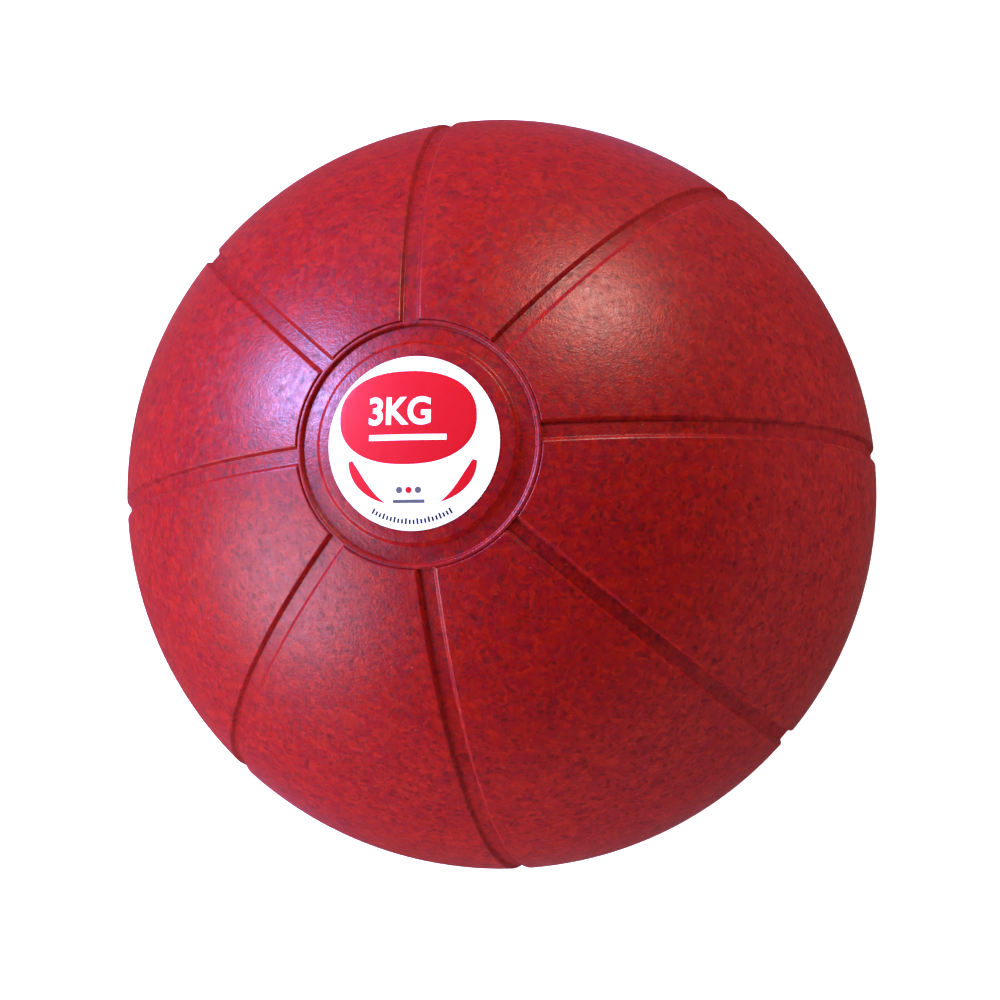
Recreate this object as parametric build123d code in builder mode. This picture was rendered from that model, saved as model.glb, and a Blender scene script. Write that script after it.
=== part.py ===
# A 3 kg moulded rubber medicine ball, 240 mm across, with eight grooves, a label medallion and a needle valve.
# Frame: origin at the centre of the ball, +Z out through the label, +Y towards the top of the label's figure.
import os
from math import asin, degrees, sqrt

from build123d import *

os.makedirs("parts", exist_ok=True)

# Driving dimensions, in mm
BALL_R = 120.0  # outside radius of the panels

# Layers, each measured inwards from the one outside it
COVER_T = 4.0
CARCASS_T = 10.5
WINDING_T = 1.0
BLADDER_T = 1.2

# Grooves that run from one medallion to the other
GROOVES = 8
GROOVE_AZIMUTH = 4.8  # of the first groove, in degrees from +X
GROOVE_DEPTH = 1.15
GROOVE_FLOOR_HALF = 1.9
GROOVE_WALL_TOP_HALF = 2.55  # where the wall meets the edge bevel
GROOVE_BEVEL_DEPTH = 0.25
GROOVE_EDGE_HALF = 3.0

# Medallion at each pole: radii from the polar axis, and depths below the ball's surface
BOSS_R = 26.2
BOSS_DEPTH = 0.35
CREASE_R = 27.0
RECESS_R = 31.1
RECESS_DEPTH = 1.5
LEDGE_R = 31.8
LEDGE_OUT_R = 32.6
LEDGE_DEPTH = 0.35
LIP_FOOT_R = 32.85
LIP_FOOT_DEPTH = 0.75
LIP_R = 33.05
BOSS_ROUND, CREASE_ROUND, RECESS_ROUND, LEDGE_ROUND, LIP_ROUND = 0.6, 0.5, 0.4, 0.7, 0.3

# Label, a sticker laid a touch off centre
LABEL_R = 22.8
LABEL_T = 0.2
LABEL_X, LABEL_Y = -0.5, -0.25

# Needle valve on the rear pole
STEM_R = 5.0
STEM_DEPTH = 0.9  # of the boot's face below the ball's surface
STEM_CHAMFER = 0.5
MOUTH_CHAMFER = 0.6  # round the hole in the cover
FLANGE_R = 13.0
FLANGE_T = 1.6
CORE_R = 2.8
CORE_HEAD_R = 3.6
CORE_HEAD_H = 2.0
CORE_LENGTH = 19.0
CORE_DEPTH = 1.2  # of the plug's face below the ball's surface
NEEDLE_R = 1.1
NEEDLE_LENGTH = 13.5
NEEDLE_CHAMFER = 0.6
NEEDLE_TIP = 0.9  # depth of the hole's conical end, where the closed slit begins

# Radii of the layer surfaces
COVER_IN = BALL_R - COVER_T
CARCASS_IN = COVER_IN - CARCASS_T
WINDING_IN = CARCASS_IN - WINDING_T
BLADDER_IN = WINDING_IN - BLADDER_T

# The grooves end at the outside of the medallion's ledge, at this angle from the pole
GROOVE_START = degrees(asin((LEDGE_OUT_R + LIP_FOOT_R) / 2 / BALL_R))


def at(rho, radius, side=1):
    """Point of the XZ section at distance rho from the polar axis, on the sphere of that radius."""
    return (rho, side * sqrt(radius**2 - rho**2))


def arc(rho_1, rho_2, radius, side=1):
    """Arc of the XZ section on the sphere of that radius, between two distances from the polar axis."""
    middle = (rho_1 + rho_2) / 2
    return ThreePointArc(at(rho_1, radius, side), at(middle, radius, side), at(rho_2, radius, side))


def cover_section(side, hole_r=0.0):
    """Half section of one cover half, with its medallion round the pole and a hole of hole_r in the pole."""
    boss = BALL_R - BOSS_DEPTH
    recess = BALL_R - RECESS_DEPTH
    ledge = BALL_R - LEDGE_DEPTH
    lip_foot = BALL_R - LIP_FOOT_DEPTH
    with BuildSketch(Plane.XZ) as section:
        with BuildLine():
            arc(hole_r, BOSS_R, boss, side)
            Line(at(BOSS_R, boss, side), at(CREASE_R, recess, side))
            arc(CREASE_R, RECESS_R, recess, side)
            Line(at(RECESS_R, recess, side), at(LEDGE_R, ledge, side))
            arc(LEDGE_R, LEDGE_OUT_R, ledge, side)
            Line(at(LEDGE_OUT_R, ledge, side), at(LIP_FOOT_R, lip_foot, side))
            Line(at(LIP_FOOT_R, lip_foot, side), at(LIP_R, BALL_R, side))
            arc(LIP_R, BALL_R, BALL_R, side)
            Line((BALL_R, 0), (COVER_IN, 0))
            arc(COVER_IN, hole_r, COVER_IN, side)
            Line(at(hole_r, COVER_IN, side), at(hole_r, boss, side))
        make_face()
        rounds = [
            (at(BOSS_R, boss, side), BOSS_ROUND),
            (at(CREASE_R, recess, side), CREASE_ROUND),
            (at(RECESS_R, recess, side), RECESS_ROUND),
            (at(LEDGE_R, ledge, side), LEDGE_ROUND),
            (at(LIP_R, BALL_R, side), LIP_ROUND),
        ]
        for corner, radius in rounds:
            fillet(section.vertices().sort_by_distance(corner)[0], radius)
        if hole_r:
            mouth = section.vertices().sort_by_distance(at(hole_r, boss, side))[0]
            chamfer(mouth, MOUTH_CHAMFER)
    return section.sketch


def half_shell_section(side):
    """Half section of one carcass half, with the valve's hole through the rear one."""
    hole_r = STEM_R if side < 0 else 0.0
    with BuildSketch(Plane.XZ) as section:
        with BuildLine():
            arc(hole_r, COVER_IN, COVER_IN, side)
            Line((COVER_IN, 0), (CARCASS_IN, 0))
            arc(CARCASS_IN, hole_r, CARCASS_IN, side)
            Line(at(hole_r, CARCASS_IN, side), at(hole_r, COVER_IN, side))
        make_face()
    return section.sketch


def whole_shell_section(outer, inner):
    """Half section of a whole spherical shell, with the valve's hole through its rear pole."""
    with BuildSketch(Plane.XZ) as section:
        with BuildLine():
            ThreePointArc((0, outer), (outer, 0), at(STEM_R, outer, -1))
            Line(at(STEM_R, outer, -1), at(STEM_R, inner, -1))
            ThreePointArc(at(STEM_R, inner, -1), (inner, 0), (0, inner))
            Line((0, inner), (0, outer))
        make_face()
    return section.sketch


# One groove's cutter, from medallion to medallion in the XZ plane on the +X side
with BuildPart() as groove_cutter:
    with BuildSketch(Plane.YZ):
        Polygon(
            (-GROOVE_FLOOR_HALF, BALL_R - GROOVE_DEPTH),
            (GROOVE_FLOOR_HALF, BALL_R - GROOVE_DEPTH),
            (GROOVE_WALL_TOP_HALF, BALL_R - GROOVE_BEVEL_DEPTH),
            (GROOVE_EDGE_HALF, BALL_R),
            (GROOVE_EDGE_HALF, BALL_R + 2),
            (-GROOVE_EDGE_HALF, BALL_R + 2),
            (-GROOVE_EDGE_HALF, BALL_R),
            (-GROOVE_WALL_TOP_HALF, BALL_R - GROOVE_BEVEL_DEPTH),
            align=None,
        )
    revolve(axis=Axis.Y, revolution_arc=180 - 2 * GROOVE_START)

groove_places = [
    Location((0, 0, 0), (0, 0, GROOVE_AZIMUTH + 360 / GROOVES * k)) * Location((0, 0, 0), (0, GROOVE_START, 0))
    for k in range(GROOVES)
]

# The front half of the speckled cover, with the label's medallion
with BuildPart() as cover_front_half:
    add(cover_section(1))
    revolve(axis=Axis.Z)
    with Locations(*groove_places):
        add(groove_cutter.part, mode=Mode.SUBTRACT)
cover_front_half.part.label = "cover_front_half"
export_step(cover_front_half.part, "parts/cover_front_half.step")

# The rear half of the cover, with the valve in its medallion
with BuildPart() as cover_rear_half:
    add(cover_section(-1, STEM_R))
    revolve(axis=Axis.Z)
    with Locations(*groove_places):
        add(groove_cutter.part, mode=Mode.SUBTRACT)
cover_rear_half.part.label = "cover_rear_half"
export_step(cover_rear_half.part, "parts/cover_rear_half.step")

# Dense rubber that gives the ball its weight
with BuildPart() as carcass_front_half:
    add(half_shell_section(1))
    revolve(axis=Axis.Z)
carcass_front_half.part.label = "carcass_front_half"
export_step(carcass_front_half.part, "parts/carcass_front_half.step")

with BuildPart() as carcass_rear_half:
    add(half_shell_section(-1))
    revolve(axis=Axis.Z)
carcass_rear_half.part.label = "carcass_rear_half"
export_step(carcass_rear_half.part, "parts/carcass_rear_half.step")

# Nylon yarn wound round the bladder
with BuildPart() as winding_layer:
    add(whole_shell_section(CARCASS_IN, WINDING_IN))
    revolve(axis=Axis.Z)
winding_layer.part.label = "winding_layer"
export_step(winding_layer.part, "parts/winding_layer.step")

# Air bladder
with BuildPart() as bladder:
    add(whole_shell_section(WINDING_IN, BLADDER_IN))
    revolve(axis=Axis.Z)
bladder.part.label = "bladder"
export_step(bladder.part, "parts/bladder.step")

# Flanged boot from inside the bladder up to the rear medallion, bored in steps for the core
boot_face = -(BALL_R - STEM_DEPTH)
core_face = -(BALL_R - CORE_DEPTH)
head_foot = core_face + CORE_HEAD_H
core_end = core_face + CORE_LENGTH
wall_end = core_face + NEEDLE_CHAMFER + NEEDLE_LENGTH
with BuildPart() as valve_boot:
    with BuildSketch(Plane.XZ):
        with BuildLine():
            Polyline(
                at(STEM_R, BLADDER_IN, -1),
                (STEM_R, boot_face + STEM_CHAMFER),
                (STEM_R - STEM_CHAMFER, boot_face),
                (CORE_HEAD_R, boot_face),
                (CORE_HEAD_R, head_foot),
                (CORE_R, head_foot),
                at(CORE_R, BLADDER_IN - FLANGE_T, -1),
            )
            arc(CORE_R, FLANGE_R, BLADDER_IN - FLANGE_T, -1)
            Line(at(FLANGE_R, BLADDER_IN - FLANGE_T, -1), at(FLANGE_R, BLADDER_IN, -1))
            arc(FLANGE_R, STEM_R, BLADDER_IN, -1)
        make_face()
    revolve(axis=Axis.Z)
valve_boot.part.label = "valve_boot"
export_step(valve_boot.part, "parts/valve_boot.step")

# Self-sealing plug: a blind guide hole for the needle, then solid rubber that the needle parts
with BuildPart() as valve_core:
    with BuildSketch(Plane.XZ):
        with BuildLine():
            Polyline(
                (0, wall_end + NEEDLE_TIP),
                (NEEDLE_R, wall_end),
                (NEEDLE_R, core_face + NEEDLE_CHAMFER),
                (NEEDLE_R + NEEDLE_CHAMFER, core_face),
                (CORE_HEAD_R, core_face),
                (CORE_HEAD_R, head_foot),
                (CORE_R, head_foot),
                (CORE_R, core_end),
                (0, core_end),
                close=True,
            )
        make_face()
    revolve(axis=Axis.Z)
valve_core.part.label = "valve_core"
export_step(valve_core.part, "parts/valve_core.step")

# Printed round sticker, bent to the boss it is stuck on
with BuildPart() as label:
    with BuildSketch(Plane.XZ):
        with BuildLine():
            arc(0, BOSS_R, BALL_R - BOSS_DEPTH)
            Line(at(BOSS_R, BALL_R - BOSS_DEPTH), at(BOSS_R, BALL_R - BOSS_DEPTH + LABEL_T))
            arc(BOSS_R, 0, BALL_R - BOSS_DEPTH + LABEL_T)
            Line((0, BALL_R - BOSS_DEPTH + LABEL_T), (0, BALL_R - BOSS_DEPTH))
        make_face()
    revolve(axis=Axis.Z)
    with Locations((LABEL_X, LABEL_Y, BALL_R)):
        Cylinder(LABEL_R, 20, mode=Mode.INTERSECT)
label.part.label = "label"
export_step(label.part, "parts/label.step")
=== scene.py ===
from math import asin, ceil, cos, hypot, pi, radians, sin, sqrt, tan

import bmesh
import bpy
import numpy as np
from mathutils import Matrix, Vector


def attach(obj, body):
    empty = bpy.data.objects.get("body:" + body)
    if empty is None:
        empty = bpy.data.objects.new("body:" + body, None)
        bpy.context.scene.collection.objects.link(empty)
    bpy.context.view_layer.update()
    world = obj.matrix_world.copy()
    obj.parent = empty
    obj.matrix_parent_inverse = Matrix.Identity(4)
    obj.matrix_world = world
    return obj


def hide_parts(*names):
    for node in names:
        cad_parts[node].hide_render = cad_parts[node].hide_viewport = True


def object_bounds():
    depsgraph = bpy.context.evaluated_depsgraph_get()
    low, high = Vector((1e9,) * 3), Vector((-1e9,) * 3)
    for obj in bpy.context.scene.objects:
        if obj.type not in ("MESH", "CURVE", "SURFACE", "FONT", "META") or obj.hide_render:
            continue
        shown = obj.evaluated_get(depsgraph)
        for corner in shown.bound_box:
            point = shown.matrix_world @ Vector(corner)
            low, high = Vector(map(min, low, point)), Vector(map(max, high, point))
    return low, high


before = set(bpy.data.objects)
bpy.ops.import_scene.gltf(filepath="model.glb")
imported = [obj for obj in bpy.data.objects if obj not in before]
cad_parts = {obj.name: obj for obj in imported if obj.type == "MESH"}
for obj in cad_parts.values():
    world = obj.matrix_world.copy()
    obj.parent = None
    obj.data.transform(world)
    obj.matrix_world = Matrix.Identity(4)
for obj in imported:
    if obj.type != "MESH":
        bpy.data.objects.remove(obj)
cad_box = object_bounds()

# Sizes of the ball, in millimetres, as in the CAD
BALL_R = 120.0
COVER_IN = 116.0
GROOVES = 8
GROOVE_AZIMUTH = 4.8
LABEL_R = 22.8
LABEL_SEAT = 119.65
LABEL_FACE = 119.85
LABEL_AT = (-0.5, -0.25)
STEM_R = 5.0
BLADDER_IN = 103.3
FLANGE_IN = 101.7
MM = 0.001

# Viewing angle of the photograph, in degrees: the label's pole leans away from the camera, up and left
TILT = 12.84
LEAN = 148.84
CAMERA_DISTANCE = 4.49 * BALL_R * MM
FOCAL = 59.06
LIGHT_DISTANCE = 1.2

SHARP = 50  # edges steeper than this many degrees stay sharp


# ---------------------------------------------------------------- mesh helpers


def rounded(points, steps=4):
    """The polyline through (x, y, radius) points, each corner turned into an arc of about that radius."""
    out = []
    for i, (x, y, r) in enumerate(points):
        here = Vector((x, y))
        if r <= 0 or i in (0, len(points) - 1):
            out.append((x, y))
            continue
        a = Vector(points[i - 1][:2]) - here
        b = Vector(points[i + 1][:2]) - here
        turn = pi - a.angle(b)
        reach = min(r * tan(turn / 2), 0.48 * a.length, 0.48 * b.length)
        p, q = here + a.normalized() * reach, here + b.normalized() * reach
        for k in range(steps + 1):
            s = k / steps
            bend = p * (1 - s) ** 2 + here * 2 * s * (1 - s) + q * s**2
            out.append((bend.x, bend.y))
    return out


def spread(points, longest):
    """The polyline with points added so that no step in x is longer than longest."""
    out = [points[0]]
    for (x0, y0), (x1, y1) in zip(points, points[1:]):
        n = max(1, ceil(abs(x1 - x0) / longest - 1e-6))
        out += [(x0 + (x1 - x0) * k / n, y0 + (y1 - y0) * k / n) for k in range(1, n + 1)]
    return out


def mesh_object(name, verts, faces, material):
    """A smooth-shaded mesh object that rides on the ball's body. verts are in millimetres."""
    mesh = bpy.data.meshes.new(name)
    mesh.from_pydata((np.asarray(verts, float) * MM).tolist(), [], faces)
    mesh.validate()
    bm = bmesh.new()
    bm.from_mesh(mesh)
    bmesh.ops.recalc_face_normals(bm, faces=bm.faces)
    bm.to_mesh(mesh)
    bm.free()
    mesh.shade_smooth()
    mesh.set_sharp_from_angle(angle=radians(SHARP))
    mesh.materials.append(material)
    obj = bpy.data.objects.new(name, mesh)
    bpy.context.scene.collection.objects.link(obj)
    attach(obj, "root")
    return obj


def loft(rings, start_cap=None, end_cap=None, ring_shaped=False):
    """Rings of equal length joined by quads, with a fan to a point where a cap is asked for.

    A ring-shaped loft has its last ring joined to its first.
    """
    n = len(rings[0])
    last = (len(rings) - 1) * n
    verts = [v for ring in rings for v in ring]
    steps = [(i * n, (i + 1) * n) for i in range(len(rings) - 1)]
    if ring_shaped:
        steps.append((last, 0))
    faces = []
    for a, b in steps:
        faces += [(a + k, a + (k + 1) % n, b + (k + 1) % n, b + k) for k in range(n)]
    for point, base in ((start_cap, 0), (end_cap, last)):
        if point:
            verts.append(point)
            tip = len(verts) - 1
            faces += [(base + k, base + (k + 1) % n, tip) for k in range(n)]
    return verts, faces


def lathe(profile, columns):
    """Rings round the Z axis from points given as distance from the axis and depth below the centre."""
    turns = [2 * pi * k / columns for k in range(columns)]
    return [[(rho * cos(a), rho * sin(a), -depth) for a in turns] for rho, depth in profile]


def on_sphere(r, polar, azimuth, side):
    """A point of the sphere of radius r; side is 1 for the front half and -1 for the rear half."""
    return (r * sin(polar) * cos(azimuth), r * sin(polar) * sin(azimuth), side * r * cos(polar))


# ---------------------------------------------------------------- materials


def new_material(name):
    m = bpy.data.materials.new(name)
    m.use_nodes = True
    nodes = m.node_tree.nodes
    nodes.clear()
    out = nodes.new("ShaderNodeOutputMaterial")
    bsdf = nodes.new("ShaderNodeBsdfPrincipled")
    m.node_tree.links.new(bsdf.outputs[0], out.inputs[0])
    return m, m.node_tree, bsdf


class Graph:
    """Short calls for building a node tree."""

    def __init__(self, tree):
        self.tree = tree
        self.coords = tree.nodes.new("ShaderNodeTexCoord").outputs["Object"]

    def put(self, socket, value):
        if isinstance(value, bpy.types.NodeSocket):
            self.tree.links.new(value, socket)
        else:
            socket.default_value = value

    def noise(self, scale, detail=2.0, rough=0.5, at=None, colour=False):
        n = self.tree.nodes.new("ShaderNodeTexNoise")
        self.put(n.inputs["Vector"], at or self.coords)
        n.inputs["Scale"].default_value = scale
        n.inputs["Detail"].default_value = detail
        n.inputs["Roughness"].default_value = rough
        return n.outputs["Color" if colour else "Fac"]

    def cells(self, scale, at=None):
        """Distance to the nearest cell's centre, and that cell's own random colour."""
        n = self.tree.nodes.new("ShaderNodeTexVoronoi")
        self.put(n.inputs["Vector"], at or self.coords)
        n.inputs["Scale"].default_value = scale
        return n.outputs["Distance"], n.outputs["Color"]

    def math(self, op, a, b=0.0, c=0.0):
        n = self.tree.nodes.new("ShaderNodeMath")
        n.operation = op
        for i, v in enumerate((a, b, c)):
            self.put(n.inputs[i], v)
        return n.outputs[0]

    def vector(self, op, a, b):
        n = self.tree.nodes.new("ShaderNodeVectorMath")
        n.operation = op
        self.put(n.inputs[0], a)
        self.put(n.inputs["Scale"] if op == "SCALE" else n.inputs[1], b)
        return n.outputs[0]

    def ramp(self, value, low, high, to_low=0.0, to_high=1.0, smooth=True):
        n = self.tree.nodes.new("ShaderNodeMapRange")
        n.interpolation_type = "SMOOTHSTEP" if smooth else "LINEAR"
        self.put(n.inputs["Value"], value)
        for key, v in (("From Min", low), ("From Max", high), ("To Min", to_low), ("To Max", to_high)):
            n.inputs[key].default_value = v
        return n.outputs["Result"]

    def mix(self, factor, a, b):
        n = self.tree.nodes.new("ShaderNodeMix")
        n.data_type = "RGBA"
        self.put(n.inputs["Factor"], factor)
        self.put(n.inputs[6], a)
        self.put(n.inputs[7], b)
        return n.outputs[2]

    def two_channels(self, colour):
        n = self.tree.nodes.new("ShaderNodeSeparateColor")
        self.put(n.inputs[0], colour)
        return n.outputs[0], n.outputs[1]

    def bump(self, height, strength, distance, under=None):
        n = self.tree.nodes.new("ShaderNodeBump")
        n.inputs["Strength"].default_value = strength
        n.inputs["Distance"].default_value = distance
        self.put(n.inputs["Height"], height)
        if under is not None:
            self.put(n.inputs["Normal"], under)
        return n.outputs[0]


def speckled_rubber():
    """Red rubber pressed from mixed crumb: mottled reds, fine maroon flecks, a few pale specks."""
    m, tree, bsdf = new_material("speckled_red_rubber")
    g = Graph(tree)
    warp = g.vector("SCALE", g.vector("SUBTRACT", g.noise(190, 2, colour=True), (0.5, 0.5, 0.5)), 0.005)
    flow = g.vector("ADD", g.coords, warp)

    patches = g.ramp(g.noise(230, 4, 0.62, at=flow), 0.34, 0.66)
    colour = g.mix(patches, (0.172, 0.0020, 0.0050, 1), (0.218, 0.0034, 0.0008, 1))
    tone, hue = g.two_channels(g.cells(700, flow)[1])
    colour = g.mix(g.ramp(tone, 0.55, 0.95, 0, 0.42), colour, (0.310, 0.0075, 0.0014, 1))
    colour = g.mix(g.ramp(hue, 0.60, 1.0, 0, 0.42), colour, (0.120, 0.0014, 0.0060, 1))

    clusters = g.noise(75, 3, 0.6)
    matt = 0.0
    for scale, share, strength in ((500, 0.73, 0.46), (820, 0.70, 0.46)):
        distance, pick = g.cells(scale, flow)
        crowded = g.math("ADD", g.two_channels(pick)[0], g.math("MULTIPLY", clusters, 0.5))
        chosen = g.ramp(crowded, share + 0.22, share + 0.33)
        shape = g.ramp(distance, 0.25, 0.60, 1, 0)
        fleck = g.math("MULTIPLY", g.math("MULTIPLY", chosen, shape), strength)
        colour = g.mix(fleck, colour, (0.050, 0.0012, 0.0014, 1))
        matt = g.math("MAXIMUM", fleck, matt)

    distance, pick = g.cells(900)
    rare = g.ramp(g.two_channels(pick)[1], 0.985, 0.99)
    pale = g.math("MULTIPLY", rare, g.ramp(distance, 0.10, 0.25, 0.30, 0))
    colour = g.mix(pale, colour, (0.45, 0.15, 0.13, 1))
    g.put(bsdf.inputs["Base Color"], colour)

    gloss = g.ramp(g.noise(420, 3), 0.3, 0.7, 0.31, 0.43, smooth=False)
    g.put(bsdf.inputs["Roughness"], g.math("MULTIPLY_ADD", matt, 0.12, gloss))
    bsdf.inputs["Specular IOR Level"].default_value = 0.3
    bsdf.inputs["Sheen Weight"].default_value = 0.035
    bsdf.inputs["Sheen Roughness"].default_value = 0.3
    waves = g.bump(g.noise(38, 2), 0.10, 0.0006)
    skin = g.bump(g.noise(900, 3, 0.6), 0.35, 0.00025, waves)
    g.put(bsdf.inputs["Normal"], g.bump(g.cells(1500)[0], 0.12, 0.0002, skin))
    return m


def plain_rubber(name, colour, rough, grain=700.0):
    """Dull dark rubber with a fine dusty grain."""
    m, tree, bsdf = new_material(name)
    g = Graph(tree)
    light = tuple(min(1.0, c * 1.5 + 0.01) for c in colour)
    dust = g.ramp(g.noise(grain, 4, 0.6), 0.35, 0.7)
    g.put(bsdf.inputs["Base Color"], g.mix(dust, (*colour, 1), (*light, 1)))
    gloss = g.ramp(g.noise(grain / 3, 2), 0.3, 0.7, rough - 0.06, rough + 0.06, smooth=False)
    g.put(bsdf.inputs["Roughness"], gloss)
    g.put(bsdf.inputs["Normal"], g.bump(g.noise(grain * 1.6, 3), 0.2, 0.0002))
    return m


def yarn():
    """Nylon yarn wound over the bladder in crossing turns."""
    m, tree, bsdf = new_material("nylon_yarn")
    g = Graph(tree)
    height = None
    for axis in ("X", "Z"):
        w = tree.nodes.new("ShaderNodeTexWave")
        w.bands_direction = axis
        g.put(w.inputs["Vector"], g.coords)
        w.inputs["Scale"].default_value = 160
        w.inputs["Distortion"].default_value = 1.5
        height = w.outputs["Fac"] if height is None else g.math("MAXIMUM", height, w.outputs["Fac"])
    # painted shade: the colour is darker where the wave height is low, in the hollows between the
    # strands, and lighter on their tops
    g.put(bsdf.inputs["Base Color"], g.mix(height, (0.45, 0.43, 0.36, 1), (0.80, 0.78, 0.70, 1)))
    bsdf.inputs["Roughness"].default_value = 0.8
    g.put(bsdf.inputs["Normal"], g.bump(height, 0.5, 0.0005))
    return m


def printed(name, colour):
    """Printed vinyl with the faintest mottle in its ink and gloss."""
    m, tree, bsdf = new_material(name)
    g = Graph(tree)
    dark = tuple(c * 0.96 for c in colour)
    g.put(bsdf.inputs["Base Color"], g.mix(g.noise(240, 3), (*dark, 1), (*colour, 1)))
    g.put(bsdf.inputs["Roughness"], g.ramp(g.noise(420, 2), 0.3, 0.7, 0.41, 0.49, smooth=False))
    bsdf.inputs["Specular IOR Level"].default_value = 0.12
    g.put(bsdf.inputs["Normal"], g.bump(g.noise(1200, 2), 0.03, 0.0001))
    return m


RUBBER = speckled_rubber()
VALVE_RUBBER = plain_rubber("valve_rubber", (0.022, 0.021, 0.022), 0.55)
PLUG_RUBBER = plain_rubber("plug_rubber", (0.035, 0.034, 0.037), 0.45, 900)
CARCASS_RUBBER = plain_rubber("carcass_rubber", (0.03, 0.03, 0.03), 0.75, 420)
BUTYL = plain_rubber("butyl_rubber", (0.02, 0.02, 0.021), 0.6, 500)
YARN = yarn()
VINYL = printed("label_white", (0.88, 0.885, 0.89))
INK_RED = printed("label_red", (0.47, 0.0050, 0.0095))
INK_GREY = printed("label_grey", (0.085, 0.085, 0.085))
INK_BLACK = printed("label_black", (0.012, 0.012, 0.012))


# ---------------------------------------------------------------- cover

# Height of the groove against the distance from its centre line, in millimetres
GROOVE = spread(
    rounded(
        [
            (0.0, -1.15, 0),
            (1.9, -1.15, 0.40),
            (2.62, -0.15, 0.40),
            (2.98, 0.0, 0.50),
            (3.5, 0.0, 0),
        ]
    ),
    0.6,
)
# Height of the medallion against the distance from the pole
MEDALLION = [
    (26.2, -0.35, 0.8),
    (27.0, -1.48, 0.6),
    (31.1, -1.5, 0.4),
    (31.8, -0.40, 0.9),
    (32.6, -0.32, 0.15),
    (32.85, -0.62, 0.12),
    (33.05, -0.10, 0.25),
    (33.35, 0.0, 0.4),
    (34.0, 0.0, 0),
]
MEETS = 32.7  # the grooves end at this distance from the pole
PANEL_COLUMNS = 15
PANEL_ROWS = 46
INSIDE_ROWS = 14
POLE_GAP = 1.5
SEAM_DEPTH = 0.09


def groove_height(d):
    xs, hs = zip(*GROOVE)
    return float(np.interp(abs(d), xs, hs))


def azimuths(rho):
    """Column azimuths at a distance rho from the axis: each groove's own points, then even steps."""
    rho = max(rho, MEETS)
    half = [asin(min(1.0, d / rho)) for d, _ in GROOVE]
    middle = pi / GROOVES
    half += [half[-1] + (middle - half[-1]) * k / PANEL_COLUMNS for k in range(1, PANEL_COLUMNS)]
    one = [-middle] + [-a for a in reversed(half[1:])] + half
    return [radians(GROOVE_AZIMUTH) + 2 * pi * s / GROOVES + a for s in range(GROOVES) for a in one]


def cover_ring(rho, h, side):
    """One closed ring of the cover's outer skin, sunk where a groove crosses it."""
    theta = asin(rho / (BALL_R + h))
    ring = []
    for a in azimuths(rho):
        local = a - radians(GROOVE_AZIMUTH)
        nearest = round(local / (2 * pi / GROOVES)) * 2 * pi / GROOVES
        d = rho * sin(local - nearest)
        sunk = min(h, groove_height(d)) if rho >= MEETS else h
        ring.append(on_sphere(BALL_R + sunk, theta, a, side))
    return ring


def cover_half(name, side, hole=None):
    """One half of the cover as a closed shell, whole at its pole or with a round hole there."""
    boss = MEDALLION[0][1]
    first = hole or POLE_GAP
    start = [(hole, -1.2, 0), (hole, boss, 0.7)] if hole else [(first, boss, 0)]
    rings = [cover_ring(rho, h, side) for rho, h in spread(rounded(start + MEDALLION), 2.0)]
    begin, end = asin(MEDALLION[-1][0] / BALL_R), radians(89.75)
    for k in range(1, PANEL_ROWS + 1):
        polar = begin + (end - begin) * k / PANEL_ROWS
        rings.append(cover_ring(BALL_R * sin(polar), 0.0, side))
    # the mould's parting line round the equator
    rings.append(cover_ring((BALL_R - 0.015) * sin(radians(89.87)), -0.015, side))
    columns = azimuths(BALL_R)
    reach = [hypot(x, y) - SEAM_DEPTH for x, y, _ in rings[-1]]
    rings.append([(r * cos(a), r * sin(a), 0.0) for r, a in zip(reach, columns)])
    # the inside, back to the pole
    for k in range(INSIDE_ROWS + 1):
        polar = pi / 2 - (pi / 2 - asin(first / COVER_IN)) * k / INSIDE_ROWS
        rings.append([on_sphere(COVER_IN, polar, a, side) for a in columns])
    if hole:
        verts, faces = loft(rings, ring_shaped=True)
    else:
        verts, faces = loft(rings, (0, 0, side * (BALL_R + boss)), (0, 0, side * COVER_IN))
    return mesh_object(name, verts, faces, RUBBER)


front = cover_half("cover_front_half_skin", 1)
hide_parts("cover_front_half")
rear = cover_half("cover_rear_half_skin", -1, hole=STEM_R)
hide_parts("cover_rear_half")


# ---------------------------------------------------------------- valve

# Sections of the valve, as distance from its axis and depth below the ball's centre, in millimetres
BOOT_FACE = 119.1
BOOT_OUT = 4.97
BOOT_BORE = 2.8
HEAD_BORE = 3.6
HEAD_SEAT = 116.8
FLANGE_MIDDLE = 9.0
FLANGE_R = 13.0


def depth_at(r, rho):
    """Depth of the sphere of radius r at a distance rho from the axis."""
    return sqrt(r**2 - rho**2)


boot = rounded(
    [
        (HEAD_BORE, HEAD_SEAT, 0),
        (HEAD_BORE, BOOT_FACE, 0.25),
        (BOOT_OUT, BOOT_FACE, 0.55),
        (BOOT_OUT, 110.0, 0),
        (BOOT_OUT, depth_at(BLADDER_IN, BOOT_OUT), 0),
        (FLANGE_MIDDLE, depth_at(BLADDER_IN, FLANGE_MIDDLE), 0),
        (FLANGE_R, depth_at(BLADDER_IN, FLANGE_R), 0.4),
        (FLANGE_R, depth_at(FLANGE_IN, FLANGE_R), 0.5),
        (FLANGE_MIDDLE, depth_at(FLANGE_IN, FLANGE_MIDDLE), 0),
        (BOOT_BORE, depth_at(FLANGE_IN, BOOT_BORE), 0.3),
        (BOOT_BORE, HEAD_SEAT, 0),
    ]
)
verts, faces = loft(lathe(boot, 96), ring_shaped=True)
valve_boot = mesh_object("valve_boot_ring", verts, faces, VALVE_RUBBER)
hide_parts("valve_boot")

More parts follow.
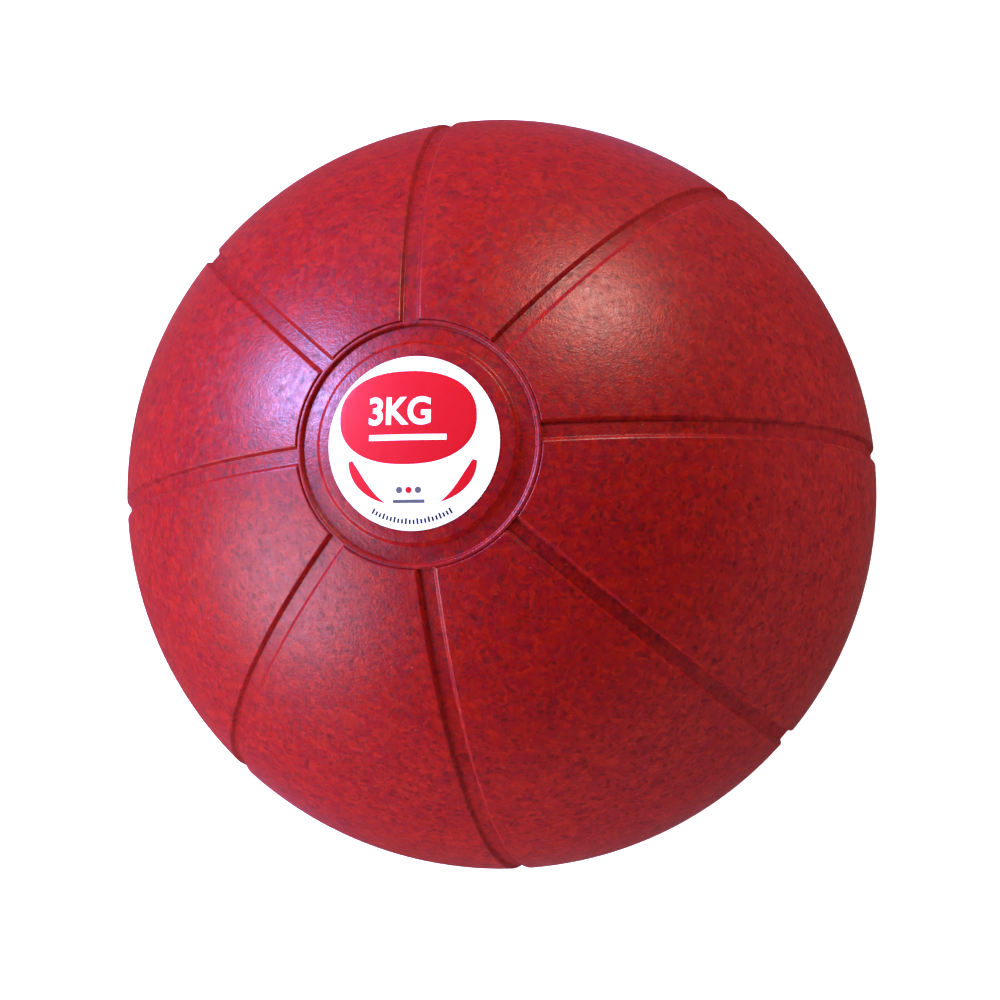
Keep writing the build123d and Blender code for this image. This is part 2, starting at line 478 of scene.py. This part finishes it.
CORE_FACE = 118.8
CORE_END = CORE_FACE - 19.0
CORE_R = 2.75
HEAD_R = 3.55
HEAD_UNDER = CORE_FACE - 2.0
NEEDLE_R = 1.1
NEEDLE_END = CORE_FACE - 14.1
core = rounded(
    [
        (NEEDLE_R, NEEDLE_END, 0),
        (NEEDLE_R, CORE_FACE - 0.6, 0.3),
        (NEEDLE_R + 0.6, CORE_FACE, 0.3),
        (HEAD_R, CORE_FACE, 0.35),
        (HEAD_R, HEAD_UNDER, 0),
        (CORE_R, HEAD_UNDER, 0),
        (CORE_R, CORE_END, 0.4),
        (1.0, CORE_END, 0),
    ]
)
verts, faces = loft(lathe(core, 72), (0, 0, -(NEEDLE_END - 0.9)), (0, 0, -CORE_END))
valve_core = mesh_object("valve_core_plug", verts, faces, PLUG_RUBBER)
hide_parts("valve_core")


# ---------------------------------------------------------------- label

# Radii of the ink layers, just over the label's face, and of the white print on the red
INK = (LABEL_FACE + 0.012, LABEL_FACE + 0.030)
FIELD_INK = (LABEL_FACE + 0.010, LABEL_FACE + 0.028)
WHITE_INK = (LABEL_FACE + 0.030, LABEL_FACE + 0.045)


def on_dome(x, y, r):
    """The point of the sphere of radius r over (x, y) of the label's own plane."""
    px, py = x + LABEL_AT[0], y + LABEL_AT[1]
    return (px, py, sqrt(r * r - px * px - py * py))


def dome_disc(name, outline, centre, layer, material, rings, columns):
    """A thin closed patch on the dome, inside the outline(angle) radius round its centre."""
    low, high = layer
    edge = [((k + 1) / rings, low) for k in range(rings)]
    edge += [(1.0, low * 0.3 + high * 0.7), (0.9985, high)]
    edge += [(1 - (k + 1) / rings, high) for k in range(rings - 1)]
    made = []
    for s, r in edge:
        ring = []
        for k in range(columns):
            a = 2 * pi * k / columns
            reach = outline(a) * s
            ring.append(on_dome(centre[0] + reach * cos(a), centre[1] + reach * sin(a), r))
        made.append(ring)
    verts, faces = loft(made, on_dome(*centre, low), on_dome(*centre, high))
    return mesh_object(name, verts, faces, material)


def dome_ribbon(name, path, half_width, material, steps=48, layer=INK):
    """A thin closed strip on the dome along path(s), half_width(s) to each side, s from 0 to 1."""
    low, high = layer
    rings = []
    for k in range(steps + 1):
        s = k / steps
        a, b = path(max(0, s - 1e-3)), path(min(1, s + 1e-3))
        tx, ty = b[0] - a[0], b[1] - a[1]
        size = hypot(tx, ty)
        nx, ny = -ty / size, tx / size
        w = max(half_width(s), 0.02)
        x, y = path(s)
        across = [-1, -0.5, 0, 0.5, 1]
        loop = [on_dome(x + nx * w * c, y + ny * w * c, high) for c in across]
        loop += [on_dome(x + nx * w * c, y + ny * w * c, low) for c in reversed(across)]
        rings.append(loop)
    n = len(rings[0])
    verts, faces = loft(rings)
    last = (len(rings) - 1) * n
    for base in (0, last):
        faces += [(base + k, base + k + 1, base + n - 2 - k, base + n - 1 - k) for k in range(4)]
    return mesh_object(name, verts, faces, material)


def oval(a, b, power=2.0):
    """The radius of an oval by angle; a power over 2 makes it squarer."""

    def outline(angle):
        return (abs(cos(angle) / a) ** power + abs(sin(angle) / b) ** power) ** (-1 / power)

    return outline


label = dome_disc("label_disc", oval(LABEL_R, LABEL_R), (0, 0), (LABEL_SEAT, LABEL_FACE), VINYL, 14, 192)
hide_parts("label")

dome_disc("label_field", oval(18.3, 12.3, 2.3), (-1.4, 6.5), FIELD_INK, INK_RED, 12, 160)

SWEEP_R = 17.2
for name, start, end in (("label_sweep_left", 196, 246), ("label_sweep_right", 344, 296)):

    def sweep(s, start=start, end=end):
        a = radians(start + (end - start) * s)
        return SWEEP_R * cos(a), SWEEP_R * sin(a)

    def swell(s):
        return 1.7 * sin(pi * min(1.0, 0.08 + s * 0.92)) ** 0.8 * (1 - 0.55 * s)

    dome_ribbon(name, sweep, swell, INK_RED)

dome_ribbon("label_rule", lambda s: (-11.4 + 20.6 * s, 1.2), lambda s: 0.75, VINYL, layer=WHITE_INK)
for k in range(3):
    ink = INK_RED if k == 1 else INK_GREY
    dome_disc(f"label_dot_{k + 1}", oval(0.85, 0.85), (-3.2 + 2.5 * k, -12.4), INK, ink, 3, 40)
dome_ribbon("label_bar", lambda s: (-4.9 + 8.4 * s, -15.3), lambda s: 0.45, INK_GREY)

TICKS = 22
for k in range(TICKS):
    size = 0.95 if k % 3 else 1.25

    def tick(s, a=radians(240 + 60 * k / (TICKS - 1)), size=size):
        r = 20.9 - size + 1.24 * size * s
        return r * cos(a), r * sin(a)

    dome_ribbon(f"label_tick_{k + 1}", tick, lambda s: 0.26, INK_BLACK, steps=3)

# the weight figure, cut into small faces so that it can follow the dome
text = bpy.data.curves.new("weight", "FONT")
text.body = "3KG"
text.size = 9.9 * MM
text.extrude = 0.000008
text.offset = 0.00026
text.align_x = "CENTER"
text.resolution_u = 8
words = bpy.data.objects.new("weight", text)
bpy.context.scene.collection.objects.link(words)
bpy.context.view_layer.update()
flat = bpy.data.meshes.new_from_object(words)
bpy.data.objects.remove(words)
bm = bmesh.new()
bm.from_mesh(flat)
bmesh.ops.remove_doubles(bm, verts=bm.verts, dist=1e-7)
for k in range(-9, 10):
    for normal in ((1, 0, 0), (0, 1, 0)):
        whole = bm.verts[:] + bm.edges[:] + bm.faces[:]
        bmesh.ops.bisect_plane(bm, geom=whole, plane_co=Vector(normal) * k * 1.2 * MM, plane_no=normal)
for v in bm.verts:
    x, y, z = v.co / MM
    v.co = Vector(on_dome(0.92 * x - 3.3, y + 4.8, LABEL_FACE + 0.038 + z)) * MM
bm.to_mesh(flat)
bm.free()
flat.name = "label_weight"
flat.materials.clear()
flat.materials.append(VINYL)
figure = bpy.data.objects.new("label_weight", flat)
bpy.context.scene.collection.objects.link(figure)
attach(figure, "root")


# ---------------------------------------------------------------- sealed layers

for node, material in (
    ("carcass_front_half", CARCASS_RUBBER),
    ("carcass_rear_half", CARCASS_RUBBER),
    ("winding_layer", YARN),
    ("bladder", BUTYL),
):
    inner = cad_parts[node]
    inner.data.materials.clear()
    inner.data.materials.append(material)


# ---------------------------------------------------------------- studio

floor_z = cad_box[0].z
bpy.ops.mesh.primitive_grid_add(x_subdivisions=40, y_subdivisions=40, size=14, location=(0, 0, floor_z))
floor = bpy.context.object
floor.name = "floor"
m, tree, bsdf = new_material("studio_floor")
bsdf.inputs["Base Color"].default_value = (0.86, 0.86, 0.86, 1)
bsdf.inputs["Roughness"].default_value = 0.9
bsdf.inputs["Specular IOR Level"].default_value = 0.1
bsdf.inputs["Emission Color"].default_value = (1.0, 1.0, 1.0, 1)
bsdf.inputs["Emission Strength"].default_value = 0.55
floor.data.materials.append(m)
floor.visible_glossy = False

# A pale backdrop far behind the floor. Only the camera sees it, so it doesn't light the ball.
bpy.ops.mesh.primitive_uv_sphere_add(segments=64, ring_count=32, radius=9, location=(0, 0, 0))
backdrop = bpy.context.object
backdrop.name = "backdrop"
m, tree, bsdf = new_material("studio_backdrop")
bsdf.inputs["Base Color"].default_value = (0.0, 0.0, 0.0, 1)
bsdf.inputs["Specular IOR Level"].default_value = 0.0
bsdf.inputs["Emission Color"].default_value = (1.0, 1.0, 1.0, 1)
bsdf.inputs["Emission Strength"].default_value = 0.65
m.cycles.emission_sampling = "NONE"
backdrop.data.materials.append(m)
backdrop.visible_diffuse = backdrop.visible_glossy = backdrop.visible_shadow = False

lean = radians(LEAN)
RIG = Matrix.Rotation(-radians(TILT), 4, Vector((-sin(lean), cos(lean), 0)))

camera_data = bpy.data.cameras.new("camera")
camera_data.lens = FOCAL
camera_data.sensor_width = 36
camera_data.shift_x = -0.0018
camera_data.shift_y = -0.0057
camera_data.clip_start = 0.01
camera = bpy.data.objects.new("camera", camera_data)
camera.matrix_world = RIG @ Matrix.Translation((0, 0, CAMERA_DISTANCE))
bpy.context.scene.collection.objects.link(camera)
bpy.context.scene.camera = camera


def soft_light(name, place, size, power, colour, shine=True):
    """A round light facing the ball. Without shine it lights the rubber but isn't mirrored in it."""
    data = bpy.data.lights.new(name, "AREA")
    data.shape = "DISK"
    data.size = size
    data.energy = power
    data.color = colour
    obj = bpy.data.objects.new(name, data)
    obj.location = place
    obj.rotation_mode = "QUATERNION"
    obj.rotation_quaternion = (-place).to_track_quat("-Z", "Y")
    obj.visible_camera = False
    obj.visible_glossy = shine
    bpy.context.scene.collection.objects.link(obj)


def seen(azimuth, elevation):
    """A light's place by its angles in the camera's axes: from the right, and up from the image plane."""
    az, el = radians(azimuth), radians(elevation)
    return RIG @ (Vector((cos(el) * cos(az), cos(el) * sin(az), sin(el))) * LIGHT_DISTANCE)


soft_light("window_left", seen(152.6, 27.0), 0.34, 45, (0.34, 0.42, 1.0))
soft_light("window_back", seen(65.0, 30.5), 0.36, 13, (1.0, 0.72, 0.62))
soft_light("window_low", seen(202.0, 26.2), 0.85, 21, (0.64, 0.70, 1.0))
soft_light("glow_below", seen(225.0, 8.0), 0.40, 8, (0.72, 0.66, 1.0), shine=False)
soft_light("glow_above", seen(115.0, 8.0), 0.40, 6, (0.82, 0.72, 1.0), shine=False)
for k in range(8):
    turn = radians(22.5 + 45 * k)
    place = Vector((LIGHT_DISTANCE * cos(turn), LIGHT_DISTANCE * sin(turn), 0.16))
    soft_light(f"wall_{k + 1}", place, 0.05, 3.0 - 1.7 * sin(turn), (1.0, 1.0, 1.0), shine=False)

world = bpy.data.worlds.new("studio")
world.use_nodes = True
world.node_tree.nodes["Background"].inputs[0].default_value = (1.0, 1.0, 1.0, 1)
world.node_tree.nodes["Background"].inputs[1].default_value = 0.12
bpy.context.scene.world = world
world.cycles_visibility.glossy = False
bpy.context.scene.view_settings.view_transform = "Standard"
